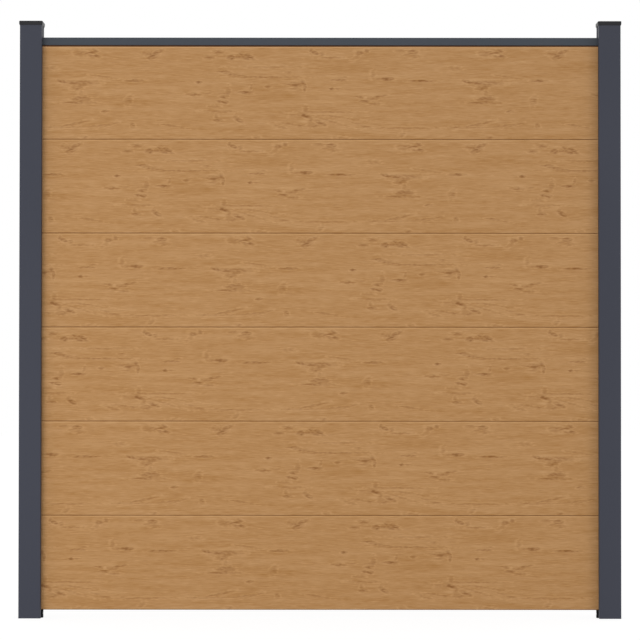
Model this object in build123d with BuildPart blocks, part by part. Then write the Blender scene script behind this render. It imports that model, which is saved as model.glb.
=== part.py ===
from build123d import *
import os

os.makedirs("parts", exist_ok=True)

# Sizes in millimetres. The panel stands on z = 0, its front faces -Y, and x = 0 is its middle.

# Planks
plank_count = 6
plank_cover = 300.0
plank_length = 1800.0
plank_thickness = 20.0
plank_wall = 2.2
plank_web = 1.8
plank_chambers = 9
joint_bevel = 2.0
joint_round = 0.8

# Tongue and groove between the planks
tongue_thickness = 9.0
tongue_height = 10.0
tongue_round = 1.5
tongue_side_clearance = 0.4
tongue_end_clearance = 1.0

# Posts
post_size = 70.0
post_wall = 2.2
post_corner = 3.0
post_head = 46.0
channel_depth = 22.0
channel_clearance = 0.6
channel_lip_round = 1.0
plank_engagement = 12.5
port_radius = 2.1
port_wall = 1.8
port_edge = 0.6
port_mouth = 2.2

# Post caps
cap_plate = 4.0
cap_skirt = 9.0
cap_wall = 2.2
cap_clearance = 0.4
cap_upper_bevel = 1.2
cap_taper_inset = 1.5
cap_taper_height = 4.5
plug_depth = 24.0
plug_wall = 2.0
plug_clearance = 0.3
plug_lead = 1.0

# Top rail
rail_gap = 1.6
rail_height = 24.4
rail_wall = 1.8
rail_edge_round = 1.5
rail_lower_bevel = 0.8
rail_chamber_round = 1.0

# Stops under the planks and their screws
ground_gap = 25.5
stop_reach = 5.5
stop_clearance = 0.3
stop_wall = 2.5
stop_corner = 2.0
stop_rib_height = 6.0
stop_rib_inset = 1.5
stop_rib_bevel = 1.0
stop_boss_wall = 2.2
screw_radius = 2.0
screw_head_radius = 3.8
screw_head_angle = 90.0
screw_seat_clearance = 0.1
screw_bore_clearance = 0.25
screw_thread_clearance = 0.05
screw_point = 5.0
screw_past_wall = 6.0
drive_length = 4.2
drive_width = 1.1
drive_depth = 1.5

# How near a corner lies to the place where it is looked for
pick_tolerance = 0.01

# Sizes that follow from the ones above
stack_top = ground_gap + plank_count * plank_cover
rail_base = stack_top + rail_gap
rail_top = rail_base + rail_height
rail_slot_depth = tongue_height - rail_gap
post_length = rail_top + post_head
groove_width = tongue_thickness + 2 * tongue_side_clearance
groove_depth = tongue_height + tongue_end_clearance
channel_width = plank_thickness + 2 * channel_clearance
opening_half = plank_length / 2 - plank_engagement
post_x = opening_half + post_size / 2
channel_floor_x = opening_half + channel_depth

chamber_low = groove_depth + plank_wall
chamber_high = plank_cover - plank_wall
chamber_pitch = (chamber_high - chamber_low + plank_web) / plank_chambers
chamber_height = chamber_pitch - plank_web
chamber_width = plank_thickness - 2 * plank_wall

side_chamber_depth = (post_size - channel_width) / 2 - 2 * post_wall
side_chamber_y = channel_width / 2 + post_wall + side_chamber_depth / 2
core_width = post_size - 2 * channel_depth - 2 * post_wall
port_ring = port_radius + port_wall
port_spacing = post_size - 2 * (post_wall + port_edge + port_radius)

cap_size = post_size + 2 * (cap_clearance + cap_wall)
cap_corner = post_corner + cap_clearance + cap_wall
plug_width = core_width - 2 * plug_clearance
plug_height = channel_width - 2 * plug_clearance

stop_length = channel_depth + stop_reach
stop_width = channel_width - 2 * stop_clearance
stop_face_x = opening_half - stop_reach
stop_middle_x = stop_face_x + stop_length / 2
stop_rib_length = plank_engagement + stop_reach - 2 * stop_rib_inset
stop_rib_x = stop_face_x + stop_rib_inset + stop_rib_length / 2
screw_z = ground_gap / 2
screw_bore = screw_radius + screw_bore_clearance
screw_length = stop_length + post_wall + screw_past_wall
screw_cone = screw_head_radius - screw_radius

# Left post: one extrusion with a channel on two sides, three chambers and four screw ports
with BuildPart() as left_post:
    with BuildSketch(Plane(origin=(-post_x, 0, 0))) as post_section:
        RectangleRounded(post_size, post_size, post_corner)
        with GridLocations(post_size - channel_depth, 0, 2, 1):
            Rectangle(channel_depth, channel_width, mode=Mode.SUBTRACT)
        fillet(
            post_section.vertices().filter_by(
                lambda v: abs(abs(v.X) - post_size / 2) < pick_tolerance
                and abs(abs(v.Y) - channel_width / 2) < pick_tolerance
            ),
            channel_lip_round,
        )
        with GridLocations(0, 2 * side_chamber_y, 1, 2):
            Rectangle(post_size - 2 * post_wall, side_chamber_depth, mode=Mode.SUBTRACT)
        Rectangle(core_width, channel_width, mode=Mode.SUBTRACT)
        with GridLocations(port_spacing, port_spacing, 2, 2):
            Circle(port_ring)
        with GridLocations(port_spacing, port_spacing, 2, 2):
            Circle(port_radius, mode=Mode.SUBTRACT)
        with PolarLocations(port_spacing / 2**0.5, 4, start_angle=45):
            Rectangle(
                2 * port_ring,
                port_mouth,
                align=(Align.MAX, Align.CENTER),
                mode=Mode.SUBTRACT,
            )
    extrude(amount=post_length)
    with BuildSketch(Plane(origin=(-channel_floor_x, 0, screw_z), z_dir=(-1, 0, 0))):
        Circle(screw_radius + screw_thread_clearance)
    extrude(amount=post_wall, mode=Mode.SUBTRACT)

left_post.part.label = "left_post"
export_step(left_post.part, "parts/left_post.step")

# Right post: the same extrusion, drilled on its own inner side
with BuildPart() as right_post:
    mirror(left_post.part, about=Plane.YZ)

right_post.part.label = "right_post"
export_step(right_post.part, "parts/right_post.step")

# Left cap: a skirt over the post end, and a hollow plug in the middle chamber
with BuildPart() as left_cap:
    with BuildSketch(Plane(origin=(-post_x, 0, post_length - cap_skirt))):
        RectangleRounded(cap_size, cap_size, cap_corner)
    extrude(amount=cap_skirt + cap_plate)
    chamfer(left_cap.edges().group_by(Axis.Z)[-1], cap_upper_bevel)
    chamfer(
        left_cap.edges().group_by(Axis.Z)[0],
        cap_taper_inset,
        cap_taper_height,
        reference=left_cap.faces().sort_by(Axis.Z)[0],
    )
    with BuildSketch(Plane(origin=(-post_x, 0, post_length - cap_skirt))):
        RectangleRounded(
            post_size + 2 * cap_clearance,
            post_size + 2 * cap_clearance,
            post_corner + cap_clearance,
        )
    extrude(amount=cap_skirt, mode=Mode.SUBTRACT)
    with BuildSketch(Plane(origin=(-post_x, 0, post_length))):
        Rectangle(plug_width, plug_height)
    extrude(amount=-plug_depth)
    chamfer(left_cap.faces().sort_by(Axis.Z)[0].edges(), plug_lead)
    with BuildSketch(Plane(origin=(-post_x, 0, post_length))):
        Rectangle(plug_width - 2 * plug_wall, plug_height - 2 * plug_wall)
    extrude(amount=-plug_depth, mode=Mode.SUBTRACT)

left_cap.part.label = "left_cap"
export_step(left_cap.part, "parts/left_cap.step")

# Right cap
with BuildPart() as right_cap:
    mirror(left_cap.part, about=Plane.YZ)

right_cap.part.label = "right_cap"
export_step(right_cap.part, "parts/right_cap.step")

# Planks, counted from the ground up: hollow boards with a tongue above and a groove below
for number in range(1, plank_count + 1):
    plank_base = ground_gap + (number - 1) * plank_cover
    with BuildPart() as plank:
        with BuildSketch(
            Plane(origin=(-plank_length / 2, 0, plank_base), x_dir=(0, 1, 0), z_dir=(1, 0, 0))
        ) as plank_section:
            Rectangle(plank_thickness, plank_cover, align=(Align.CENTER, Align.MIN))
            chamfer(plank_section.vertices(), joint_bevel)
            fillet(
                plank_section.vertices().filter_by(
                    lambda v: abs(abs(v.X) - plank_thickness / 2) < pick_tolerance
                ),
                joint_round,
            )
            with Locations((0, plank_cover)):
                Rectangle(tongue_thickness, tongue_height, align=(Align.CENTER, Align.MIN))
            fillet(plank_section.vertices().group_by(Axis.Y)[-1], tongue_round)
            Rectangle(
                groove_width,
                groove_depth,
                align=(Align.CENTER, Align.MIN),
                mode=Mode.SUBTRACT,
            )
            with Locations((0, (chamber_low + chamber_high) / 2)):
                with GridLocations(0, chamber_pitch, 1, plank_chambers):
                    Rectangle(chamber_width, chamber_height, mode=Mode.SUBTRACT)
        extrude(amount=plank_length)
    plank.part.label = f"plank_{number}"
    export_step(plank.part, f"parts/plank_{number}.step")

# Top rail: a hollow section with a slot below, which rests on the top plank's tongue
with BuildPart() as top_rail:
    with BuildSketch(
        Plane(origin=(-plank_length / 2, 0, rail_base), x_dir=(0, 1, 0), z_dir=(1, 0, 0))
    ) as rail_section:
        Rectangle(plank_thickness, rail_height, align=(Align.CENTER, Align.MIN))
        chamfer(rail_section.vertices().group_by(Axis.Y)[0], rail_lower_bevel)
        fillet(rail_section.vertices().group_by(Axis.Y)[-1], rail_edge_round)
        with Locations((0, rail_height / 2)):
            RectangleRounded(
                plank_thickness - 2 * rail_wall,
                rail_height - 2 * rail_wall,
                rail_chamber_round,
                mode=Mode.SUBTRACT,
            )
        Rectangle(
            groove_width + 2 * rail_wall,
            rail_slot_depth + rail_wall,
            align=(Align.CENTER, Align.MIN),
        )
        Rectangle(
            groove_width,
            rail_slot_depth,
            align=(Align.CENTER, Align.MIN),
            mode=Mode.SUBTRACT,
        )
    extrude(amount=plank_length)

top_rail.part.label = "top_rail"
export_step(top_rail.part, "parts/top_rail.step")

# Left stop: a moulded block in the foot of the channel that carries the planks
with BuildPart() as left_stop:
    with BuildSketch(Plane(origin=(-stop_middle_x, 0, 0))):
        Rectangle(stop_length, stop_width)
    extrude(amount=ground_gap)
    fillet(
        left_stop.edges().filter_by(Axis.Z).group_by(Axis.X)[-1],
        stop_corner,
    )
    with BuildSketch(Plane(origin=(-stop_middle_x, 0, 0))):
        Rectangle(stop_length - 2 * stop_wall, stop_width - 2 * stop_wall)
    extrude(amount=ground_gap - stop_wall, mode=Mode.SUBTRACT)
    with BuildSketch(Plane(origin=(-stop_rib_x, 0, ground_gap))):
        Rectangle(stop_rib_length, tongue_thickness)
    extrude(amount=stop_rib_height)
    chamfer(left_stop.faces().sort_by(Axis.Z)[-1].edges(), stop_rib_bevel)
    with BuildSketch(Plane(origin=(-channel_floor_x, 0, screw_z), z_dir=(1, 0, 0))):
        Circle(screw_bore + stop_boss_wall)
    extrude(amount=stop_length)
    with Locations(Plane(origin=(-stop_face_x, 0, screw_z), z_dir=(1, 0, 0))):
        CounterSinkHole(
            screw_bore,
            screw_head_radius + screw_seat_clearance,
            depth=stop_length,
            counter_sink_angle=screw_head_angle,
        )

left_stop.part.label = "left_stop"
export_step(left_stop.part, "parts/left_stop.step")

# Right stop
with BuildPart() as right_stop:
    mirror(left_stop.part, about=Plane.YZ)

right_stop.part.label = "right_stop"
export_step(right_stop.part, "parts/right_stop.step")

# The two countersunk screws that hold the stops
with BuildPart() as stop_screws:
    with BuildSketch(
        Plane(origin=(-stop_face_x, 0, screw_z), x_dir=(-1, 0, 0), z_dir=(0, 1, 0))
    ):
        with BuildLine():
            Polyline(
                (0, 0),
                (0, screw_head_radius),
                (screw_cone, screw_radius),
                (screw_length - screw_point, screw_radius),
                (screw_length, 0),
                close=True,
            )
        make_face()
    revolve(axis=Axis((-stop_face_x, 0, screw_z), (1, 0, 0)))
    with BuildSketch(Plane(origin=(-stop_face_x, 0, screw_z), z_dir=(1, 0, 0))):
        Rectangle(drive_length, drive_width)
        Rectangle(drive_width, drive_length)
    extrude(amount=-drive_depth, mode=Mode.SUBTRACT)
    mirror(about=Plane.YZ)

stop_screws.part.label = "stop_screws"
export_step(stop_screws.part, "parts/stop_screws.step")
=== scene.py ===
import logging
import math
from dataclasses import dataclass
from enum import Enum
from typing import Any

import bmesh
import bpy
from mathutils import Matrix, Vector


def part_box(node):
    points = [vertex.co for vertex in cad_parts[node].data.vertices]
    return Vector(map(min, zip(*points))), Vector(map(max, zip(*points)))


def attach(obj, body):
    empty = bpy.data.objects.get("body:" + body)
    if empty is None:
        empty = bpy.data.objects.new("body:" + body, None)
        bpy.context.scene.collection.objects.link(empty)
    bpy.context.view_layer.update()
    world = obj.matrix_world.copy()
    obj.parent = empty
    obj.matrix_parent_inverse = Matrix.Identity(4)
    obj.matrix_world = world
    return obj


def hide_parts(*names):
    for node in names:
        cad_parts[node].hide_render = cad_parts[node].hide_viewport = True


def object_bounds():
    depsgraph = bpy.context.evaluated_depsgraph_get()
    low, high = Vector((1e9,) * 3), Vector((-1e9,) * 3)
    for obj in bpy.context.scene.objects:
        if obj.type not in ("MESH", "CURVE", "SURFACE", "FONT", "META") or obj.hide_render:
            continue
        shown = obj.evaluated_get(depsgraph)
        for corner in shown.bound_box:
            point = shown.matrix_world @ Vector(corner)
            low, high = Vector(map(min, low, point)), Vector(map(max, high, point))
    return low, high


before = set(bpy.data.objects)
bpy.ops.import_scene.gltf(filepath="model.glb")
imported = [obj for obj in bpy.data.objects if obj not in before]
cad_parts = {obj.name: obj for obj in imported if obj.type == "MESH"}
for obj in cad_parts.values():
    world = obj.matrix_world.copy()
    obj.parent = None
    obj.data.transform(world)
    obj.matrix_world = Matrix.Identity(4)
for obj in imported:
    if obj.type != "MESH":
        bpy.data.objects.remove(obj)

Point = Span = tuple[float, float]
Triple = Colour = tuple[float, float, float]
Socket = bpy.types.NodeSocket

CAD_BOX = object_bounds()
LOG = logging.getLogger("fence_panel")
MM = 0.001
WELD = 0.01 * MM
ROOT = "root"

# The attribute that carries each plank's place on the print, and in its third number how strong the painted
# shadow under the rail is
PRINT_PLACE = "print_place"

# The measure of a place that lies well outside every mark of the print
FAR = 4.0


class Hand(Enum):
    """The end of the panel that a piece belongs to, as its node's name says it."""

    LEFT = "left"
    RIGHT = "right"


@dataclass(frozen=True)
class Layer:
    """One layer of noise: how often it repeats per unit along each axis, and how fine it is."""

    stretch: Triple
    detail: float = 2.0
    roughness: float = 0.5


def link(thing: bpy.types.Object) -> bpy.types.Object:
    """Puts an object into the scene."""
    bpy.context.scene.collection.objects.link(thing)
    return thing


class Graph:
    """A node tree under construction, with short calls for the nodes used most."""

    def __init__(self, tree: bpy.types.NodeTree) -> None:
        """Keeps the tree that the nodes go into."""
        self.tree = tree

    def feed(self, socket: Socket, value: Any) -> None:
        """Joins a socket to another, or sets its own value.

        Args:
            socket: The input to feed.
            value: An output socket, or a plain value.
        """
        if isinstance(value, Socket):
            self.tree.links.new(value, socket)
        else:
            socket.default_value = value

    def add(self, kind: str, inputs: dict | None = None, **settings: Any) -> bpy.types.NodeOutputs:
        """Adds one node.

        Args:
            kind: The node's type name.
            inputs: Input names or numbers, with an output socket or a value for each.
            settings: Properties of the node, set before its inputs.

        Returns:
            The new node's outputs.
        """
        node = self.tree.nodes.new(kind)
        for name, value in settings.items():
            setattr(node, name, value)
        for key, value in (inputs or {}).items():
            self.feed(node.inputs[key], value)
        return node.outputs

    def math(self, operation: str, *values: Any) -> Socket:
        """Works out a number from sockets or numbers, with a Math node."""
        return self.add("ShaderNodeMath", dict(enumerate(values)), operation=operation)[0]

    def vector(self, operation: str, *values: Any) -> Socket:
        """Works out a vector, or a dot product's number, with a Vector Math node."""
        results = self.add("ShaderNodeVectorMath", dict(enumerate(values)), operation=operation)
        return results["Value" if operation == "DOT_PRODUCT" else "Vector"]

    def combine(self, x: Any = 0.0, y: Any = 0.0, z: Any = 0.0) -> Socket:
        """Makes a vector of three sockets or numbers."""
        return self.add("ShaderNodeCombineXYZ", {0: x, 1: y, 2: z})[0]

    def split(self, vector: Socket) -> tuple[Socket, ...]:
        """Takes a vector apart into its three numbers."""
        return tuple(self.add("ShaderNodeSeparateXYZ", {0: vector}))

    def noise(self, place: Socket, layer: Layer, output: str | int = 0) -> Socket:
        """Adds one layer of noise.

        Args:
            place: The coordinates.
            layer: How the noise is stretched and how fine it is.
            output: The noise node's output, by default its number.

        Returns:
            The output's socket.
        """
        scaled = self.vector("MULTIPLY", place, layer.stretch)
        given = {"Vector": scaled, "Scale": 1.0, "Detail": layer.detail, "Roughness": layer.roughness}
        return self.add("ShaderNodeTexNoise", given)[output]


class Surface(Graph):
    """A material under construction, with its Principled shader."""

    def __init__(self, name: str) -> None:
        """Starts the material.

        Args:
            name: The material's name.
        """
        self.material = bpy.data.materials.new(name)
        self.material.use_nodes = True
        super().__init__(self.material.node_tree)
        self.shader = next(n for n in self.tree.nodes if n.type == "BSDF_PRINCIPLED")

    def give(self, name: str, value: Any) -> None:
        """Feeds one of the shader's inputs."""
        self.feed(self.shader.inputs[name], value)

    def ease(self, value: Any, low: Any, high: Any, start: Any, end: Any) -> Socket:
        """Maps a value from one range to another along a smooth step.

        Args:
            value: The value to map.
            low: Where the step begins.
            high: Where the step ends.
            start: The result before the step.
            end: The result after the step.

        Returns:
            The mapped value's socket.
        """
        given = dict(enumerate((value, low, high, start, end)))
        return self.add("ShaderNodeMapRange", given, interpolation_type="SMOOTHSTEP", clamp=False)[0]

    def blend(self, share: Socket, first: Any, second: Any) -> Socket:
        """Mixes two colours.

        Args:
            share: How much of the second colour shows.
            first: The first colour, or its socket.
            second: The second colour, or its socket.

        Returns:
            The mixed colour's socket.
        """
        node = self.tree.nodes.new("ShaderNodeMix")
        node.data_type = "RGBA"
        node.clamp_factor = True
        for name, value in (("Factor", share), ("A", first), ("B", second)):
            socket = next(s for s in node.inputs if s.name == name and s.enabled)
            self.feed(socket, value if isinstance(value, Socket) else (*value, 1.0))
        return next(s for s in node.outputs if s.enabled)

    def mean(self, first: Socket, second: Socket, share: float) -> Socket:
        """Takes the mean of two numbers, with the second one's share."""
        return self.math("MULTIPLY_ADD", second, share, self.math("MULTIPLY", first, 1.0 - share))

    def sheen(self, noise: Socket, roughness: float, spread: float) -> None:
        """Spreads the shader's roughness about its mean with a noise."""
        self.give("Roughness", self.math("MULTIPLY_ADD", noise, spread, roughness - spread / 2.0))

    def press(self, height: Socket, strength: float, depth: float) -> None:
        """Presses a fine relief, as deep as it says in metres, into the shader's surface."""
        relief = {"Strength": strength, "Distance": depth, "Height": height}
        self.give("Normal", self.add("ShaderNodeBump", relief)[0])


class Shape(Graph):
    """A Geometry Nodes tree under construction, with its sizes as named inputs."""

    KINDS: dict[type, str] = {
        float: "NodeSocketFloat",
        int: "NodeSocketInt",
        bpy.types.Object: "NodeSocketObject",
        bpy.types.Material: "NodeSocketMaterial",
    }

    def __init__(self, name: str, sizes: dict[str, Any]) -> None:
        """Starts the tree.

        Args:
            name: The tree's name.
            sizes: The named inputs, with a value of its kind for each.
        """
        super().__init__(bpy.data.node_groups.new(name, "GeometryNodeTree"))
        face = self.tree.interface
        face.new_socket("Geometry", in_out="OUTPUT", socket_type="NodeSocketGeometry")
        for key, value in sizes.items():
            face.new_socket(key, in_out="INPUT", socket_type=self.KINDS[type(value)])
        self.given = self.add("NodeGroupInput")

    def index(self) -> Socket:
        """Reads the number of each point."""
        return self.add("GeometryNodeInputIndex")[0]

    def position(self) -> Socket:
        """Reads the position of each point."""
        return self.add("GeometryNodeInputPosition")[0]

    def move(self, geometry: Socket, position: Socket) -> Socket:
        """Moves each point of a geometry to a new position."""
        return self.add("GeometryNodeSetPosition", {"Geometry": geometry, "Position": position})[0]

    def weld(self, *parts: Socket) -> Socket:
        """Joins geometries and welds the points that they share.

        Args:
            parts: The geometries' sockets.

        Returns:
            The welded geometry's socket.
        """
        joined = self.tree.nodes.new("GeometryNodeJoinGeometry")
        for part in parts:
            self.tree.links.new(part, joined.inputs[0])
        given = {"Geometry": joined.outputs[0], "Distance": WELD}
        return self.add("GeometryNodeMergeByDistance", given)[0]

    def hand_out(self, geometry: Socket) -> None:
        """Ends the tree with a geometry in its material.

        Args:
            geometry: The geometry's socket.
        """
        real = self.add("GeometryNodeRealizeInstances", {"Geometry": geometry})[0]
        dressed = {"Geometry": real, "Material": self.given["Material"]}
        self.add("NodeGroupOutput", {0: self.add("GeometryNodeSetMaterial", dressed)[0]})

    def grow(self, name: str, sizes: dict[str, Any]) -> bpy.types.Object:
        """Makes an object that the tree fills.

        Args:
            name: The object's name.
            sizes: The value of each named input.

        Returns:
            The new object.
        """
        thing = link(bpy.data.objects.new(name, bpy.data.meshes.new(name)))
        modifier = thing.modifiers.new(name, "NODES")
        modifier.node_group = self.tree
        sockets = {s.name: s.identifier for s in self.tree.interface.items_tree if s.in_out == "INPUT"}
        for key, value in sizes.items():
            modifier[sockets[key]] = value
        return thing


@dataclass(frozen=True)
class Mark:
    """One mark of the wood print, as a soft ellipse. Lengths are in millimetres.

    along is measured to the right of the print's first knot and below from the plank's top edge.
    tilt is in degrees, and a positive one falls to the right.
    """

    along: float
    below: float
    length: float
    height: float
    depth: float
    tilt: float = 0.0

    def ruler(self, depth: float, grown: float) -> tuple[Vector, Vector]:
        """Works out how to measure a place that is turned to this mark's tilt.

        Args:
            depth: How far the squared measure falls below 1 at the mark's centre.
            grown: How much larger than the mark the measured ellipse is.

        Returns:
            The scale and the offset of the measure, which is 1 at the ellipse's rim.
        """
        angle = math.radians(self.tilt)
        reach = 2.0 * math.sqrt(depth) / grown
        across = self.below * math.cos(angle) - self.along * math.sin(angle)
        along = self.along * math.cos(angle) + self.below * math.sin(angle)
        scale = Vector((reach / self.length, reach / self.height, math.sqrt(1.0 - depth)))
        return scale, Vector((-along * scale.x, -across * scale.y, 0.0))


# Knots, around which the grain bends
KNOTS = (
    Mark(14, 20, 30, 11, 0.75, -24), Mark(0, 34, 28, 12, 0.95, -16), Mark(249, 37, 20, 14, 0.95),
    Mark(301, 35, 30, 15, 1.0, 8), Mark(457, 123, 30, 13, 0.8, 8), Mark(488, 224, 32, 10, 0.9, 16),
    Mark(517, 21, 26, 9, 0.75, 24), Mark(660, 21, 22, 10, 0.65), Mark(831, 19, 26, 11, 0.9),
    Mark(-198, 21, 36, 6, 0.9, -8), Mark(-187, 32, 34, 9, 1.0, 8), Mark(274, 236, 28, 11, 0.9, 32),
    Mark(209, 238, 24, 8, 0.8), Mark(295, 148, 36, 8, 0.9), Mark(748, 105, 36, 9, 1.0),
    Mark(-59, 111, 44, 7, 1.0), Mark(-244, 134, 16, 12, 0.6, -64), Mark(676, 177, 26, 7, 0.8),
)

# Dashes, streaks and smudges
STREAKS = (
    Mark(-8, 29, 8, 20, 0.6, 16), Mark(-20, 23, 22, 12, 0.4), Mark(178, 36, 24, 11, 0.55),
    Mark(209, 20, 30, 10, 0.5), Mark(283, 26, 18, 7, 0.8, 24), Mark(272, 34, 16, 8, 0.6),
    Mark(316, 40, 22, 6, 0.6, 16), Mark(372, 67, 150, 5, 0.35), Mark(226, 82, 32, 6, 0.75),
    Mark(262, 92, 52, 7, 0.75, 8), Mark(360, 99, 170, 5, 0.55), Mark(147, 116, 17, 8, 0.9),
    Mark(132, 155, 38, 8, 0.6), Mark(171, 152, 20, 5, 0.4), Mark(221, 152, 20, 5, 0.5),
    Mark(226, 163, 22, 8, 0.75), Mark(212, 177, 18, 7, 0.75, 8), Mark(229, 179, 20, 9, 0.8, 8),
    Mark(240, 145, 11, 26, 0.45, 8), Mark(313, 134, 7, 16, 0.4, 16), Mark(197, 193, 28, 7, 0.4),
    Mark(215, 209, 80, 6, 0.35), Mark(203, 226, 9, 18, 0.3), Mark(264, 227, 10, 12, 0.45),
    Mark(51, 253, 30, 6, 0.75, 8), Mark(70, 257, 60, 4, 0.4, 8), Mark(368, 129, 16, 7, 0.5),
    Mark(331, 292, 16, 8, 0.3), Mark(505, 15, 8, 16, 0.5, 8), Mark(540, 26, 14, 10, 0.5, 8),
    Mark(572, 37, 60, 5, 0.4), Mark(682, 14, 12, 10, 0.5, 16), Mark(648, 36, 18, 8, 0.25, -32),
    Mark(791, 14, 30, 6, 0.5), Mark(812, 27, 24, 5, 0.35, -8), Mark(838, 32, 22, 10, 0.4),
    Mark(434, 85, 22, 6, 0.6), Mark(478, 117, 14, 14, 0.6), Mark(485, 131, 8, 26, 0.6),
    Mark(455, 137, 26, 6, 0.35), Mark(440, 121, 36, 7, 0.45), Mark(591, 108, 42, 5, 0.7),
    Mark(606, 102, 20, 6, 0.4, -16), Mark(572, 137, 14, 7, 0.8, 8), Mark(590, 136, 16, 5, 0.3),
    Mark(704, 92, 12, 18, 0.3), Mark(733, 105, 40, 6, 0.4), Mark(860, 112, 66, 7, 1.0),
    Mark(663, 163, 26, 6, 0.75, 8), Mark(725, 160, 34, 6, 0.7, -8), Mark(700, 168, 34, 6, 0.5),
    Mark(709, 184, 30, 6, 0.4), Mark(487, 208, 12, 24, 0.4), Mark(463, 222, 40, 10, 0.35),
    Mark(535, 246, 32, 10, 0.7, 24), Mark(511, 254, 26, 10, 0.65), Mark(503, 238, 12, 18, 0.35, 32),
    Mark(560, 211, 140, 5, 0.45), Mark(585, 226, 120, 5, 0.35, 8), Mark(560, 238, 100, 5, 0.3, 16),
    Mark(452, 252, 70, 5, 0.5, 8), Mark(665, 252, 60, 5, 0.55, 16), Mark(682, 258, 26, 6, 0.5, 8),
    Mark(800, 262, 150, 5, 0.4), Mark(797, 283, 18, 10, 0.4, -32), Mark(600, 295, 30, 8, 0.3),
    Mark(-232, 23, 34, 14, 0.45), Mark(-184, 14, 16, 8, 0.6, 24), Mark(-290, 113, 26, 8, 0.9, 16),
    Mark(-262, 118, 44, 8, 0.7, 8), Mark(-226, 118, 80, 14, 0.5), Mark(-236, 127, 36, 16, 0.5, -24),
    Mark(-230, 151, 10, 12, 0.4), Mark(-230, 170, 44, 14, 0.75), Mark(-215, 168, 10, 18, 0.4),
    Mark(-237, 181, 90, 6, 0.6), Mark(-153, 209, 20, 7, 0.7, -8), Mark(-270, 252, 70, 5, 0.45, -16),
    Mark(-236, 247, 60, 5, 0.4, -16), Mark(-180, 256, 50, 5, 0.5, -8), Mark(-140, 253, 50, 5, 0.5, -16),
    Mark(-300, 260, 120, 5, 0.4), Mark(-78, 174, 16, 24, 0.45, 16), Mark(-65, 254, 14, 14, 0.55, -16),
    Mark(-219, 292, 18, 8, 0.5), Mark(-330, 72, 30, 9, 0.4), Mark(-160, 98, 60, 5, 0.35, 8),
    Mark(400, 256, 40, 5, 0.4, 16), Mark(410, 261, 24, 6, 0.35, 8),
)

# Pale flecks beside the knots, and pale grain
GLINTS = (
    Mark(258, 22, 36, 7, 0.7), Mark(238, 16, 26, 6, 0.4), Mark(192, 22, 26, 6, 0.4, -16),
    Mark(12, 30, 12, 10, 0.3), Mark(330, 82, 90, 7, 0.45), Mark(255, 106, 90, 6, 0.45),
    Mark(228, 100, 34, 8, 0.5), Mark(225, 157, 30, 4, 0.4), Mark(232, 171, 24, 4, 0.45),
    Mark(299, 138, 26, 10, 0.55), Mark(262, 165, 60, 6, 0.45), Mark(235, 202, 70, 7, 0.45),
    Mark(245, 222, 40, 12, 0.35), Mark(284, 228, 12, 8, 0.4), Mark(138, 145, 44, 8, 0.45),
    Mark(40, 135, 90, 8, 0.4), Mark(60, 176, 120, 7, 0.4), Mark(40, 248, 40, 5, 0.35),
    Mark(376, 253, 40, 5, 0.5, 16), Mark(520, 29, 18, 7, 0.75), Mark(506, 20, 8, 8, 0.5),
    Mark(645, 14, 18, 12, 0.6), Mark(672, 14, 22, 8, 0.6), Mark(815, 23, 50, 6, 0.4),
    Mark(452, 111, 24, 12, 0.5), Mark(462, 137, 16, 8, 0.35), Mark(576, 98, 40, 8, 0.5),
    Mark(560, 150, 220, 14, 0.4), Mark(550, 178, 160, 9, 0.45), Mark(780, 100, 80, 5, 0.5, 8),
    Mark(740, 98, 50, 6, 0.35), Mark(848, 106, 60, 5, 0.5), Mark(679, 166, 10, 10, 0.9),
    Mark(690, 154, 60, 9, 0.6), Mark(550, 217, 110, 6, 0.6), Mark(489, 232, 20, 7, 0.7, 8),
    Mark(482, 240, 30, 10, 0.5), Mark(520, 236, 60, 6, 0.4, 16), Mark(655, 248, 50, 5, 0.55, 16),
    Mark(690, 252, 40, 5, 0.4, 8), Mark(800, 256, 130, 5, 0.45), Mark(-194, 27, 26, 5, 1.0, 8),
    Mark(-212, 37, 26, 6, 0.5), Mark(-240, 106, 160, 6, 0.6), Mark(-248, 115, 8, 9, 0.5),
    Mark(-240, 149, 12, 10, 0.45), Mark(-262, 247, 60, 5, 0.5, -8), Mark(-236, 255, 40, 5, 0.5, -24),
    Mark(-205, 245, 50, 5, 0.5, -16), Mark(-150, 247, 50, 5, 0.5, -16), Mark(-60, 106, 40, 6, 0.45),
    Mark(-60, 117, 40, 5, 0.4), Mark(-86, 250, 26, 8, 0.5), Mark(-120, 100, 90, 6, 0.4, 8),
    Mark(-290, 10, 80, 8, 0.35),
)


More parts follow.
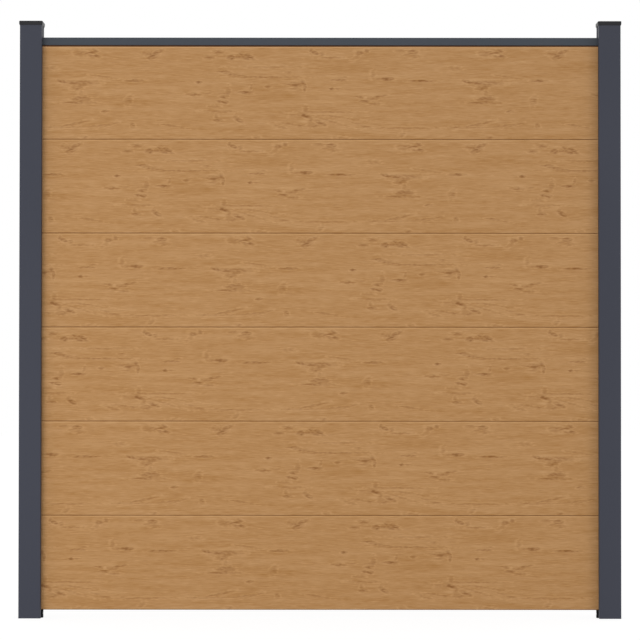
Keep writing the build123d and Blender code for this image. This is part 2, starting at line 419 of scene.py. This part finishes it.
@dataclass(frozen=True)
class WoodPrint:
    """The printed film on the planks: one knotty print that repeats along the length, with painted shade in
    the joints and under the rail, and a painted highlight below each joint.

    Lengths on the print are in millimetres. A span says where an easing begins and ends.
    """

    pale: Colour = (0.512, 0.290, 0.127)
    dark: Colour = (0.350, 0.162, 0.041)
    knot: Colour = (0.165, 0.047, 0.001)
    gleam: Colour = (0.630, 0.372, 0.168)
    # Colour of the painted shade in the joints and under the rail
    joint_shade: Colour = (0.062, 0.014, 0.001)
    repeat: float = 1294.0
    seam: float = 940.0
    drop: float = 1.2

    ragged: Layer = Layer((0.05, 0.16, 0.0), detail=1.0)
    ragged_reach: Triple = (9.0, 2.6, 0.0)
    grit: Layer = Layer((0.08, 0.18, 0.0), detail=0.0)
    sway: Layer = Layer((0.0035, 0.011, 0.0), detail=1.0)
    sway_reach: float = 14.0
    bands: Layer = Layer((0.004, 0.045, 0.0))
    lines: Layer = Layer((0.024, 0.42, 0.0), detail=3.0, roughness=0.6)
    strokes: Layer = Layer((0.030, 0.27, 0.0), detail=1.0)
    fibres: Layer = Layer((0.03, 1.2, 0.0), roughness=0.6)

    band_share: float = 0.34
    line_share: float = 0.54
    fibre_share: float = 0.12
    contrast: float = 2.8
    contrast_shift: float = -0.9

    mark_spread: float = 1.5
    mark_strength: float = 0.68
    mark_least: float = 0.12
    mark_span: Span = (0.0, 1.15)
    flaw_span: Span = (0.82, 1.18)
    knot_reach: float = 2.6
    knot_lift: float = 3.2

    gleam_strength: float = 0.48
    fleck_strength: float = 0.28
    fleck_span: Span = (0.4, 0.6)
    rim_inner_span: Span = (0.7, 1.1)
    rim_outer_span: Span = (1.1, 2.0)
    stroke_strength: float = 0.22
    stroke_span: Span = (0.58, 0.72)
    scratch_strength: float = 0.11
    scratch_span: Span = (0.42, 0.28)

    # Painted shade: the lower bevel of each plank darkens towards the shade colour, where shade falls in
    # the joint
    joint_shade_strength: float = 0.62
    joint_shade_span: Span = (296.7, 300.0)
    # Painted highlight along the upper bevel below each joint
    edge_highlight_strength: float = 0.42
    edge_highlight_begins: Span = (1.45, 2.9)
    edge_highlight_ends: Span = (4.06, 5.8)
    # Painted shadow on the top plank's edge under the rail, and how far it lowers the painted edge
    # highlight there
    rail_drop: float = 3.0
    rail_shade_span: Span = (3.0, 3.9)

    roughness: float = 0.5
    roughness_spread: float = 0.12
    gloss: float = 0.3
    relief: float = 0.5
    relief_depth: float = 0.25 * MM

    def material(self, name: str) -> bpy.types.Material:
        """Builds the film's material."""
        return Film(name, self).paint()


class Film(Surface):
    """The printed film's material under construction, read at the place that each plank carries."""

    def __init__(self, name: str, look: WoodPrint) -> None:
        """Reads the layers that the film's colours are mixed from.

        Args:
            name: The material's name.
            look: The print's sizes and colours.
        """
        super().__init__(name)
        self.look = look
        carried = self.add("ShaderNodeAttribute", attribute_name=PRINT_PLACE)["Vector"]
        scaled = self.vector("MULTIPLY", carried, (1.0 / MM, 1.0 / MM, 1.0))
        right, self.below, self.rail_shade = self.split(scaled)
        place = self.combine(right, self.below)
        along = self.math("WRAP", right, look.seam, look.seam - look.repeat)
        wrapped = self.combine(along, self.math("SUBTRACT", self.below, look.drop))

        jitter = self.vector("SUBTRACT", self.noise(wrapped, look.ragged, "Color"), (0.5, 0.5, 0.5))
        torn = self.vector("MULTIPLY_ADD", jitter, look.ragged_reach, wrapped)
        places = self.turned(torn)
        self.near_dark = self.draw(places, KNOTS + STREAKS)
        self.near_pale = self.draw(places, GLINTS)
        self.grit = self.noise(torn, look.grit)

        swayed = self.math("MULTIPLY_ADD", self.noise(place, look.sway), look.sway_reach, self.below)
        grain = self.combine(right, self.math("ADD", swayed, self.bend(places)))
        self.bands = self.noise(grain, look.bands)
        self.lines = self.noise(grain, look.lines)
        self.strokes = self.noise(grain, look.strokes)
        self.fibres = self.noise(place, look.fibres)

    def turned(self, place: Socket) -> dict[float, Socket]:
        """Turns a place to each tilt that the marks have.

        Args:
            place: Where the print is read, in millimetres.

        Returns:
            The turned place for each tilt, with 1 as its third number.
        """
        places = {}
        for tilt in sorted({mark.tilt for mark in KNOTS + STREAKS + GLINTS}):
            c, s = math.cos(math.radians(tilt)), math.sin(math.radians(tilt))
            along = self.vector("DOT_PRODUCT", place, (c, s, 0.0))
            across = self.vector("DOT_PRODUCT", place, (-s, c, 0.0))
            places[tilt] = self.combine(along, across, 1.0)
        return places

    def draw(self, places: dict[float, Socket], marks: tuple[Mark, ...]) -> Socket:
        """Draws marks as soft ellipses.

        Args:
            places: Where the print is read, for each tilt.
            marks: The marks to draw.

        Returns:
            The least measure from any mark, which is 1 at a mark's rim and less inside it.
        """
        nearest: Any = FAR
        for mark in marks:
            scale, offset = mark.ruler(mark.depth, self.look.mark_spread)
            measure = self.vector("MULTIPLY_ADD", places[mark.tilt], scale, offset)
            nearest = self.math("MINIMUM", nearest, self.vector("DOT_PRODUCT", measure, measure))
        return nearest

    def bend(self, places: dict[float, Socket]) -> Socket:
        """Works out how far the knots push the grain lines apart, in millimetres.

        Args:
            places: Where the print is read, for each tilt.

        Returns:
            The push across the grain.
        """
        total: Any = 0.0
        for mark in KNOTS:
            scale, offset = mark.ruler(1.0, self.look.knot_reach)
            measure = self.vector("MULTIPLY_ADD", places[mark.tilt], scale, offset)
            distance = self.vector("DOT_PRODUCT", measure, measure)
            across = self.vector("DOT_PRODUCT", measure, (0.0, 1.0, 0.0))
            fall = self.ease(distance, 0.0, 1.0, self.look.knot_lift, 0.0)
            total = self.math("MULTIPLY_ADD", across, fall, total)
        return total

    def wood(self) -> Socket:
        """Mixes the plain wood from its bands, lines and fibres.

        Returns:
            The wood's colour.
        """
        look = self.look
        tone = self.math("MULTIPLY", self.bands, look.band_share)
        tone = self.math("MULTIPLY_ADD", self.lines, look.line_share, tone)
        tone = self.math("MULTIPLY_ADD", self.fibres, look.fibre_share, tone)
        share = self.math("MULTIPLY_ADD", tone, look.contrast, look.contrast_shift)
        return self.blend(share, look.dark, look.pale)

    def brightness(self) -> Socket:
        """Gathers all that is pale: flecks and strokes of the print, and a painted highlight on the edge
        below each joint.

        Returns:
            How pale the print is with its painted highlight, from 0 to 1.
        """
        look = self.look
        gleam = self.ease(self.near_pale, 0.0, 1.0, look.gleam_strength, 0.0)
        inner = self.ease(self.near_dark, *look.rim_inner_span, 0.0, 1.0)
        outer = self.ease(self.near_dark, *look.rim_outer_span, 1.0, 0.0)
        rim = self.math("MULTIPLY", inner, outer)
        fleck = self.math("MULTIPLY", rim, self.ease(self.grit, *look.fleck_span, 0.0, look.fleck_strength))
        bright = self.ease(self.strokes, *look.stroke_span, 0.0, look.stroke_strength)
        bright = self.math("MAXIMUM", bright, self.math("MAXIMUM", gleam, fleck))

        # Painted highlight on the upper bevel of each plank below the joint, lowered on the top plank
        # beneath the painted shadow under the rail
        lowered = self.math("MULTIPLY_ADD", self.rail_shade, -look.rail_drop, self.below)
        edge_highlight = self.ease(lowered, *look.edge_highlight_ends, look.edge_highlight_strength, 0.0)
        begun = self.ease(lowered, *look.edge_highlight_begins, 0.0, 1.0)
        return self.math("MAXIMUM", bright, self.math("MULTIPLY", edge_highlight, begun))

    def stain(self) -> Socket:
        """Gathers all that is dark: the knots with their streaks, and fine scratches.

        Returns:
            How dark the print is, from 0 to 1.
        """
        look = self.look
        core = self.ease(self.near_dark, *look.mark_span, 1.0, 0.0)
        flaw = self.math("ADD", self.lines, self.grit)
        broken = self.ease(flaw, *look.flaw_span, look.mark_strength, look.mark_least)
        marked = self.math("MULTIPLY", core, broken)
        scratch = self.ease(self.strokes, *look.scratch_span, 0.0, look.scratch_strength)
        return self.math("MAXIMUM", marked, scratch)

    def shade(self) -> Socket:
        """Paints shade into the joint below each plank, and a painted shadow on the top plank's edge under
        the rail.

        Returns:
            How strong the painted shade is, from 0 to 1.
        """
        look = self.look
        # Painted shade on the lower bevel of each plank, where the joint below it lies in shade
        lower = self.ease(self.below, *look.joint_shade_span, 0.0, look.joint_shade_strength)
        # Painted shadow on the top plank's top edge, under the rail
        upper = self.ease(self.below, *look.rail_shade_span, self.rail_shade, 0.0)
        return self.math("MAXIMUM", lower, upper)

    def paint(self) -> bpy.types.Material:
        """Lays the film's colours over each other, from the plain wood to the painted shade at the joints.

        Returns:
            The finished material.
        """
        look = self.look
        wood = self.wood()
        # The gleam colour carries the print's pale flecks and the painted edge highlight
        wood = self.blend(self.brightness(), wood, look.gleam)
        wood = self.blend(self.stain(), wood, look.knot)
        # The joints and the top plank's edge under the rail get painted shade
        self.give("Base Color", self.blend(self.shade(), wood, look.joint_shade))
        self.sheen(self.fibres, look.roughness, look.roughness_spread)
        self.give("Specular IOR Level", look.gloss)
        self.press(self.fibres, look.relief, look.relief_depth)
        return self.material


@dataclass(frozen=True)
class PowderCoat:
    """A baked powder coat on aluminium, with a fine sandy texture.

    Other finishes differ from it in their values. The fine shares say how much of the fine noise,
    and not of the broad one, is in the colour and in the roughness.
    """

    colour: Colour
    shade: Colour
    broad: Layer = Layer((3.0, 3.0, 1.2))
    fine: Layer = Layer((900.0, 900.0, 900.0), roughness=0.6)
    fine_colour: float = 0.4
    fine_roughness: float = 1.0
    colour_span: Span = (0.35, 0.65)
    roughness: float = 0.5
    roughness_spread: float = 0.16
    gloss: float = 0.3
    metallic: float = 0.0
    relief: float = 0.5
    relief_depth: float = 0.06 * MM

    def material(self, name: str) -> bpy.types.Material:
        """Builds the finish's material on Object coordinates.

        Args:
            name: The material's name.

        Returns:
            The new material.
        """
        surface = Surface(name)
        place = surface.add("ShaderNodeTexCoord")["Object"]
        broad = surface.noise(place, self.broad)
        fine = surface.noise(place, self.fine)
        mixed = surface.mean(broad, fine, self.fine_colour)
        share = surface.ease(mixed, *self.colour_span, 0.0, 1.0)
        surface.give("Base Color", surface.blend(share, self.shade, self.colour))
        surface.sheen(surface.mean(broad, fine, self.fine_roughness), self.roughness, self.roughness_spread)
        surface.give("Specular IOR Level", self.gloss)
        surface.give("Metallic", self.metallic)
        surface.press(fine, self.relief, self.relief_depth)
        return surface.material


@dataclass(frozen=True)
class MouldedPlastic(PowderCoat):
    """A moulded plastic with flow marks and the fine spark texture of its tool."""

    broad: Layer = Layer((14.0, 14.0, 30.0))
    fine: Layer = Layer((600.0, 600.0, 600.0), detail=1.0)
    fine_colour: float = 0.0
    fine_roughness: float = 0.0
    colour_span: Span = (0.3, 0.7)
    roughness: float = 0.42
    roughness_spread: float = 0.14
    gloss: float = 0.25
    relief: float = 0.4
    relief_depth: float = 0.05 * MM


@dataclass(frozen=True)
class PlatedSteel(PowderCoat):
    """Bright, smooth zinc plate on a steel screw."""

    colour: Colour = (0.62, 0.63, 0.64)
    shade: Colour = (0.42, 0.43, 0.45)
    broad: Layer = Layer((420.0, 420.0, 420.0), detail=3.0)
    fine_colour: float = 0.0
    fine_roughness: float = 0.0
    roughness: float = 0.34
    roughness_spread: float = 0.2
    gloss: float = 0.5
    metallic: float = 1.0
    relief: float = 0.0


# Finishes of the pieces that keep their CAD shape
POST_COAT = PowderCoat(colour=(0.043, 0.0465, 0.064), shade=(0.039, 0.0425, 0.059))
RAIL_COAT = PowderCoat(colour=(0.049, 0.057, 0.070), shade=(0.045, 0.053, 0.065))
CAP_PLASTIC = MouldedPlastic(colour=(0.020, 0.020, 0.022), shade=(0.015, 0.015, 0.017))
STOP_PLASTIC = MouldedPlastic((0.003, 0.003, 0.003), (0.002, 0.002, 0.002), roughness=0.7, gloss=0.15)


def dress(node: str, material: bpy.types.Material) -> None:
    """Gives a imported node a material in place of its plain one.

    Args:
        node: The node's name.
        material: The material for all its faces.
    """
    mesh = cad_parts[node].data
    mesh.materials.clear()
    mesh.materials.append(material)
    LOG.info("dressed %s in %s", node, material.name)


def settle(thing: bpy.types.Object, name: str, sharp_angle: float) -> bpy.types.Object:
    """Turns an object with a Geometry Nodes modifier into a plain mesh piece.

    Args:
        thing: The object that holds the modifier.
        name: The piece's name.
        sharp_angle: The angle between faces, in degrees, past which an edge stays sharp.

    Returns:
        The plain piece.
    """
    graph = bpy.context.evaluated_depsgraph_get()
    mesh = bpy.data.meshes.new_from_object(thing.evaluated_get(graph))
    mesh.name = name
    material = mesh.materials[mesh.polygons[0].material_index]
    mesh.materials.clear()
    mesh.materials.append(material)
    mesh.polygons.foreach_set("material_index", [0] * len(mesh.polygons))
    work = bmesh.new()
    work.from_mesh(mesh)
    bmesh.ops.recalc_face_normals(work, faces=work.faces)
    work.to_mesh(mesh)
    work.free()
    mesh.polygons.foreach_set("use_smooth", [True] * len(mesh.polygons))
    mesh.set_sharp_from_angle(angle=math.radians(sharp_angle))
    bpy.data.objects.remove(thing)
    LOG.info("built %s with %d faces", name, len(mesh.polygons))
    return link(bpy.data.objects.new(name, mesh))


def rounded(before: Point, corner: Point, after: Point, radius: float, steps: int) -> list[Point]:
    """Rounds one corner of an outline.

    Args:
        before: The point before the corner.
        corner: The corner.
        after: The point after the corner.
        radius: The radius of the round.
        steps: How many straight pieces the round is made of.

    Returns:
        The points of the round, in order.
    """
    c = Vector(corner)
    inward = (Vector(before) - c).normalized()
    outward = (Vector(after) - c).normalized()
    half = inward.angle(outward) / 2.0
    middle = c + (inward + outward).normalized() * (radius / math.sin(half))
    start = c + inward * (radius / math.tan(half)) - middle
    end = c + outward * (radius / math.tan(half)) - middle
    turn = start.angle_signed(end)
    turned = [Matrix.Rotation(-turn * i / steps, 2) @ start + middle for i in range(steps + 1)]
    return [(p.x, p.y) for p in turned]


@dataclass
class Planks:
    """The stack of hollow tongue-and-groove planks. Lengths are in metres."""

    finish: WoodPrint
    count: int = 6
    cover: float = 300 * MM
    thickness: float = 20 * MM
    wall: float = 2.2 * MM
    web: float = 1.8 * MM
    chambers: int = 9
    bevel: float = 2.0 * MM
    bevel_round: float = 0.8 * MM
    bevel_steps: int = 2
    tongue_thickness: float = 9.0 * MM
    tongue_height: float = 10.0 * MM
    tongue_round: float = 1.5 * MM
    tongue_steps: int = 3
    groove_width: float = 9.8 * MM
    groove_depth: float = 11.0 * MM
    face_rows: int = 92
    length_steps: int = 120
    grain: Layer = Layer((9.0, 160.0, 1.0))
    grain_depth: float = 0.18 * MM
    grain_seed: float = 0.37
    # How strong the painted shadow on the top plank's edge under the rail is
    rail_shade: float = 0.85
    sharp_angle: float = 32.0
    print_starts: tuple[float, ...] = (-0.070, -0.311, 0.2285, -0.042, -0.795, -0.5345)

    def outline(self) -> list[Point]:
        """Draws the outside of a plank's section, with depth across and height up.

        Returns:
            The outline's points in order, from the front's lower bevel upwards.
        """
        half = self.thickness / 2.0
        tongue = self.tongue_thickness / 2.0
        groove = self.groove_width / 2.0
        top = self.cover + self.tongue_height
        lower = [(-half + self.bevel, 0.0), (-half, self.bevel), (-half, self.cover - self.bevel)]
        upper = [(-half, self.bevel), (-half, self.cover - self.bevel), (-half + self.bevel, self.cover)]
        front_low = rounded(*lower, self.bevel_round, self.bevel_steps)
        front_high = rounded(*upper, self.bevel_round, self.bevel_steps)
        low, high = front_low[-1][1], front_high[0][1]
        rows = [low + (high - low) * i / self.face_rows for i in range(1, self.face_rows)]
        side = (-tongue, self.cover)
        tip = rounded(side, (-tongue, top), (0.0, top), self.tongue_round, self.tongue_steps)
        rising = [lower[0], *front_low, *[(-half, r) for r in rows], *front_high, upper[2], side, *tip]
        falling = [(-x, y) for x, y in reversed(rising)]
        slot = [(groove, 0.0), (groove, self.groove_depth), (-groove, self.groove_depth), (-groove, 0.0)]
        return rising + falling + slot

    def hollows(self) -> list[list[Point]]:
        """Draws the chambers of a plank's section.

        Returns:
            The four corners of each chamber.
        """
        low = self.groove_depth + self.wall
        pitch = (self.cover - self.wall - low + self.web) / self.chambers
        side = self.thickness / 2.0 - self.wall
        found = []
        for number in range(self.chambers):
            bottom = low + number * pitch
            top = bottom + pitch - self.web
            found.append([(-side, bottom), (-side, top), (side, top), (side, bottom)])
        return found

    def section(self) -> tuple[bpy.types.Object, int]:
        """Makes the section as loops of edges, for the tree to sweep.

        Returns:
            The section's object, and how many points its outline has.
        """
        loops = [self.outline(), *self.hollows()]
        points: list[Triple] = []
        edges: list[tuple[int, int]] = []
        for loop in loops:
            first = len(points)
            points += [(x, y, 0.0) for x, y in loop]
            edges += [(first + i, first + (i + 1) % len(loop)) for i in range(len(loop))]
        mesh = bpy.data.meshes.new("plank_section")
        mesh.from_pydata(points, edges, [])
        return bpy.data.objects.new("plank_section", mesh), len(loops[0])

    @staticmethod
    def sweep(g: Shape) -> Socket:
        """Sweeps the section, with its chambers and both its ends, and lays it along X on its base.

        Args:
            g: The tree's graph.

        Returns:
            The closed plank's socket, in its place.
        """
        count, length, steps = g.given["Outline Points"], g.given["Length"], g.given["Steps"]
        section = g.add("GeometryNodeObjectInfo", {"Object": g.given["Section"]})["Geometry"]
        index = g.index()
        ring = g.math("ADD", count, 1.0)
        grid = g.add("GeometryNodeMeshGrid", {"Vertices X": g.math("ADD", steps, 1.0), "Vertices Y": ring})
        around = g.math("MODULO", g.math("MODULO", index, ring), count)
        station = g.math("DIVIDE", g.math("FLOOR", g.math("DIVIDE", index, ring)), steps)
        sampled = {"Geometry": section, "Value": g.position(), "Index": around}
        corner = g.add("GeometryNodeSampleIndex", sampled, data_type="FLOAT_VECTOR")["Value"]
        run = g.combine(z=g.math("MULTIPLY", station, length))
        swept = g.move(grid["Mesh"], g.vector("ADD", corner, run))

        loops = g.add("GeometryNodeMeshToCurve", {"Mesh": section})[0]
        near_end = g.add("GeometryNodeFillCurve", {"Curve": loops})[0]
        shift = g.combine(z=length)
        far_end = g.add("GeometryNodeTransform", {"Geometry": near_end, "Translation": shift})[0]
        outer = {"Geometry": section, "Selection": g.math("LESS_THAN", index, count)}
        hollow = g.add("GeometryNodeDeleteGeometry", outer, domain="POINT")[0]
        drawn = {"Mesh": hollow, "Offset": shift, "Offset Scale": 1.0}
        tubes = g.add("GeometryNodeExtrudeMesh", drawn, mode="EDGES")["Mesh"]
        plank = g.weld(swept, near_end, far_end, tubes)
        across, up, along = g.split(g.position())
        centred = g.math("MULTIPLY_ADD", length, -0.5, along)
        return g.move(plank, g.combine(centred, across, g.math("ADD", up, g.given["Base"])))

    def shape(self, sizes: dict[str, Any]) -> Shape:
        """Builds the tree that makes a plank, gives it its place on the print and presses in the grain.

        Args:
            sizes: The tree's named inputs.

        Returns:
            The tree's graph.
        """
        g = Shape("plank_extrusion", sizes)
        laid = self.sweep(g)
        along, depth, height = g.split(g.position())
        right = g.math("SUBTRACT", along, g.given["Print Start"])
        below = g.math("SUBTRACT", g.math("ADD", g.given["Base"], g.given["Cover"]), height)
        printed = g.combine(right, below, g.given["Rail Shade"])
        stored = {"Geometry": laid, "Name": PRINT_PLACE, "Value": printed}
        placed = g.add("GeometryNodeStoreNamedAttribute", stored, data_type="FLOAT_VECTOR", domain="POINT")

        inner = g.math("SUBTRACT", g.given["Half Thickness"], WELD)
        on_face = g.math("GREATER_THAN", g.math("ABSOLUTE", depth), inner)
        seeded = g.vector("ADD", printed, g.combine(z=g.given["Grain Seed"]))
        ridges = g.math("MULTIPLY", g.noise(seeded, self.grain), g.given["Grain Depth"])
        outward = g.math("MULTIPLY", ridges, g.math("SIGN", depth))
        inward = g.combine(y=g.math("MULTIPLY", outward, -1.0))
        moved = {"Geometry": placed[0], "Selection": on_face, "Offset": inward}
        g.hand_out(g.add("GeometryNodeSetPosition", moved)[0])
        return g

    def build(self) -> None:
        """Builds every plank in its place, from the ground up."""
        film = self.finish.material("wood_print_film")
        section, outline_points = self.section()
        shape: Shape | None = None
        for number in range(1, self.count + 1):
            node = f"plank_{number}"
            low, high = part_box(node)
            sizes = {
                "Section": section,
                "Outline Points": outline_points,
                "Length": high.x - low.x,
                "Steps": self.length_steps,
                "Base": low.z,
                "Cover": self.cover,
                "Half Thickness": self.thickness / 2.0,
                "Grain Depth": self.grain_depth,
                "Grain Seed": self.grain_seed,
                "Print Start": self.print_starts[number - 1],
                "Rail Shade": self.rail_shade if number == self.count else 0.0,
                "Material": film,
            }
            shape = shape or self.shape(sizes)
            piece = settle(shape.grow(f"{node}_sweep", sizes), f"{node}_board", self.sharp_angle)
            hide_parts(node)
            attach(piece, ROOT)
        bpy.data.objects.remove(section)


@dataclass
class Posts:
    """The two grooved posts, their caps and the top rail between them."""

    coat: PowderCoat
    rail_coat: PowderCoat
    cap_plastic: MouldedPlastic

    def dress(self) -> None:
        """Gives the posts, the rail and the caps their finishes."""
        coat = self.coat.material("post_coat")
        plastic = self.cap_plastic.material("cap_plastic")
        dress("top_rail", self.rail_coat.material("rail_coat"))
        for hand in Hand:
            dress(f"{hand.value}_post", coat)
            dress(f"{hand.value}_cap", plastic)


@dataclass
class Stops:
    """The black stops under the planks and the countersunk screws that hold them. Lengths are in metres."""

    plastic: MouldedPlastic
    plate: PlatedSteel
    shank_radius: float = 2.0 * MM
    core_radius: float = 1.5 * MM
    point_length: float = 5.0 * MM
    thread_pitch: float = 1.4 * MM
    recess_width: float = 1.0 * MM
    recess_span: float = 4.2 * MM
    recess_depth: float = 1.6 * MM
    rows: int = 150
    around: int = 24
    sharp_angle: float = 35.0

    def dress(self) -> None:
        """Gives the stops their finish."""
        plastic = self.plastic.material("stop_plastic")
        for hand in Hand:
            dress(f"{hand.value}_stop", plastic)

    @staticmethod
    def turn(g: Shape) -> Socket:
        """Turns a threaded screw with its head's face at x = 0 and its point towards -X.

        Args:
            g: The tree's graph.

        Returns:
            The closed screw's socket, without its recess.
        """
        head, shank, core = g.given["Head Radius"], g.given["Shank Radius"], g.given["Core Radius"]
        length, rows, sides = g.given["Length"], g.given["Rows"], g.given["Around"]
        index = g.index()
        ring = g.math("ADD", sides, 1.0)
        grid = g.add("GeometryNodeMeshGrid", {"Vertices X": g.math("ADD", rows, 1.0), "Vertices Y": ring})
        turn = g.math("DIVIDE", g.math("MODULO", index, ring), sides)
        share = g.math("DIVIDE", g.math("FLOOR", g.math("DIVIDE", index, ring)), rows)
        deep = g.math("MULTIPLY", share, length)
        phase = g.math("FRACT", g.math("SUBTRACT", g.math("DIVIDE", deep, g.given["Thread Pitch"]), turn))
        crest = g.math("ABSOLUTE", g.math("MULTIPLY_ADD", phase, 2.0, -1.0))
        thread = g.math("MULTIPLY_ADD", crest, g.math("SUBTRACT", shank, core), core)
        cone = g.math("SUBTRACT", head, deep)
        slope = g.math("DIVIDE", shank, g.given["Point Length"])
        point = g.math("MULTIPLY", g.math("SUBTRACT", length, deep), slope)
        radius = g.math("MINIMUM", g.math("MAXIMUM", cone, thread), point)
        angle = g.math("MULTIPLY", turn, math.tau)
        turned = g.combine(
            g.math("MULTIPLY", deep, -1.0),
            g.math("MULTIPLY", radius, g.math("COSINE", angle)),
            g.math("MULTIPLY", radius, g.math("SINE", angle)),
        )
        side = g.move(grid["Mesh"], turned)
        disc = g.add("GeometryNodeMeshCircle", {"Vertices": sides, "Radius": head}, fill_type="NGON")
        upright = {"Geometry": disc[0], "Rotation": (math.pi / 2.0, 0.0, math.pi / 2.0)}
        return g.weld(side, g.add("GeometryNodeTransform", upright)[0])

    @staticmethod
    def recess(g: Shape, screw: Socket) -> Socket:
        """Cuts the cross recess into a screw's head.

        Args:
            g: The tree's graph.
            screw: The closed screw's socket.

        Returns:
            The cut screw's socket.
        """
        width, span = g.given["Recess Width"], g.given["Recess Span"]
        twice = g.math("MULTIPLY", g.given["Recess Depth"], 2.0)
        for size in ((twice, span, width), (twice, width, span)):
            bar = g.add("GeometryNodeMeshCube", {"Size": g.combine(*size)})["Mesh"]
            both = {"Mesh 1": screw, "Mesh 2": bar}
            screw = g.add("GeometryNodeMeshBoolean", both, operation="DIFFERENCE", solver="EXACT")["Mesh"]
        return screw

    def shape(self, sizes: dict[str, Any]) -> Shape:
        """Builds the tree that makes a screw and sets one at each stop, facing the panel's middle.

        Args:
            sizes: The tree's named inputs.

        Returns:
            The tree's graph.
        """
        g = Shape("countersunk_screws", sizes)
        screw = self.recess(g, self.turn(g))
        half = g.given["Half Spread"]
        start = g.combine(x=g.math("MULTIPLY", half, -1.0), z=g.given["Height"])
        step = g.combine(x=g.math("MULTIPLY", half, 2.0))
        line = {"Count": len(Hand), "Start Location": start, "Offset": step}
        seats = g.add("GeometryNodeMeshLine", line)[0]
        facing = g.combine(z=g.math("MULTIPLY", g.index(), math.pi))
        seated = {"Points": seats, "Instance": screw, "Rotation": facing}
        g.hand_out(g.add("GeometryNodeInstanceOnPoints", seated)[0])
        return g

    def build(self) -> None:
        """Builds the two screws in their seats."""
        low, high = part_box("stop_screws")
        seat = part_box("left_stop")[1].x
        sizes = {
            "Head Radius": (high.z - low.z) / 2.0,
            "Shank Radius": self.shank_radius,
            "Core Radius": self.core_radius,
            "Length": seat - low.x,
            "Point Length": self.point_length,
            "Thread Pitch": self.thread_pitch,
            "Recess Width": self.recess_width,
            "Recess Span": self.recess_span,
            "Recess Depth": self.recess_depth,
            "Rows": self.rows,
            "Around": self.around,
            "Half Spread": -seat,
            "Height": (high.z + low.z) / 2.0,
            "Material": self.plate.material("screw_plate"),
        }
        piece = settle(self.shape(sizes).grow("screw_turning", sizes), "stop_screw_pair", self.sharp_angle)
        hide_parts("stop_screws")
        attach(piece, ROOT)


@dataclass(frozen=True)
class Softbox:
    """One soft lamp, turned to the middle of the panel. Lengths are in metres and the power in watts."""

    name: str
    place: Triple
    width: float
    height: float
    power: float

    def hang(self) -> None:
        """Hangs the lamp, which lights the panel but isn't seen in its gloss."""
        data = bpy.data.lights.new(self.name, "AREA")
        data.shape = "RECTANGLE"
        data.size = self.width
        data.size_y = self.height
        data.energy = self.power
        thing = link(bpy.data.objects.new(self.name, data))
        thing.visible_camera = False
        thing.visible_glossy = False
        thing.location = self.place
        middle = (CAD_BOX[0] + CAD_BOX[1]) / 2.0
        thing.rotation_euler = (middle - Vector(self.place)).to_track_quat("-Z", "Y").to_euler()


@dataclass
class Studio:
    """The pale floor, the soft lamps, the white surround and the camera. Lengths are in metres."""

    floor_size: float = 40.0
    floor_colour: Colour = (0.27, 0.27, 0.27)
    floor_pale: Colour = (0.95, 0.95, 0.95)
    floor_shadow: float = 0.14
    floor_white: float = 1.04
    world_strength: float = 1.0
    front_lamp: Softbox = Softbox("front_softbox", (-2.7, -4.9, 0.42), 3.4, 0.74, 104.0)
    side_lamp: Softbox = Softbox("side_softbox", (6.5, -4.5, 0.70), 2.5, 1.3, 61.0)
    camera_distance: float = 8.0
    camera_height: float = 0.8095
    camera_pitch: float = 0.994
    camera_roll: float = -0.046
    camera_lens: float = 141.5
    camera_sensor: float = 36.0

    def build(self) -> None:
        """Sets up everything around the panel."""
        bpy.context.scene.view_settings.view_transform = "Standard"
        self.floor()
        self.surround()
        self.front_lamp.hang()
        self.side_lamp.hang()
        self.camera()

    def floor(self) -> None:
        """Lays a pale floor that shows white to the camera, also in gloss, and keeps a faint shadow."""
        half = self.floor_size / 2.0
        mesh = bpy.data.meshes.new("studio_floor")
        corners = [(-half, -half, 0.0), (half, -half, 0.0), (half, half, 0.0), (-half, half, 0.0)]
        mesh.from_pydata(corners, [], [(0, 1, 2, 3)])
        material = bpy.data.materials.new("studio_floor")
        material.use_nodes = True
        material.node_tree.nodes.clear()
        graph = Graph(material.node_tree)
        matt = graph.add("ShaderNodeBsdfDiffuse", {"Color": (*self.floor_colour, 1.0)})[0]
        pale = graph.add("ShaderNodeBsdfDiffuse", {"Color": (*self.floor_pale, 1.0)})[0]
        white = graph.add("ShaderNodeEmission", {"Strength": self.floor_white})[0]
        shown = graph.add("ShaderNodeMixShader", {0: self.floor_shadow, 1: white, 2: pale})[0]
        path = graph.add("ShaderNodeLightPath")
        sight = graph.math("MAXIMUM", path["Is Camera Ray"], path["Is Glossy Ray"])
        seen = graph.math("MAXIMUM", sight, path["Is Transmission Ray"])
        both = graph.add("ShaderNodeMixShader", {0: seen, 1: matt, 2: shown})[0]
        graph.add("ShaderNodeOutputMaterial", {"Surface": both})
        mesh.materials.append(material)
        link(bpy.data.objects.new("studio_floor", mesh))

    def surround(self) -> None:
        """Lights the panel evenly from all round, before a white background."""
        world = bpy.data.worlds.new("studio_surround")
        world.use_nodes = True
        world.node_tree.nodes.clear()
        graph = Graph(world.node_tree)
        light = {"Color": (1.0, 1.0, 1.0, 1.0), "Strength": self.world_strength}
        white = graph.add("ShaderNodeBackground", light)[0]
        graph.add("ShaderNodeOutputWorld", {"Surface": white})
        bpy.context.scene.world = world

    def camera(self) -> None:
        """Sets the camera before the panel, a little below its middle and tipped up."""
        data = bpy.data.cameras.new("camera")
        data.lens = self.camera_lens
        data.sensor_width = self.camera_sensor
        thing = link(bpy.data.objects.new("camera", data))
        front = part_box("left_post")[0].y
        thing.location = (0.0, front - self.camera_distance, self.camera_height)
        thing.rotation_euler = (math.radians(90.0 + self.camera_pitch), math.radians(self.camera_roll), 0.0)
        bpy.context.scene.camera = thing


def main() -> None:
    """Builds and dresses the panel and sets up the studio."""
    logging.basicConfig(level=logging.INFO, format="%(name)s: %(message)s")
    Studio().build()
    Planks(WoodPrint()).build()
    Posts(POST_COAT, RAIL_COAT, CAP_PLASTIC).dress()
    stops = Stops(STOP_PLASTIC, PlatedSteel())
    stops.dress()
    stops.build()


if __name__ == "__main__":
    main()
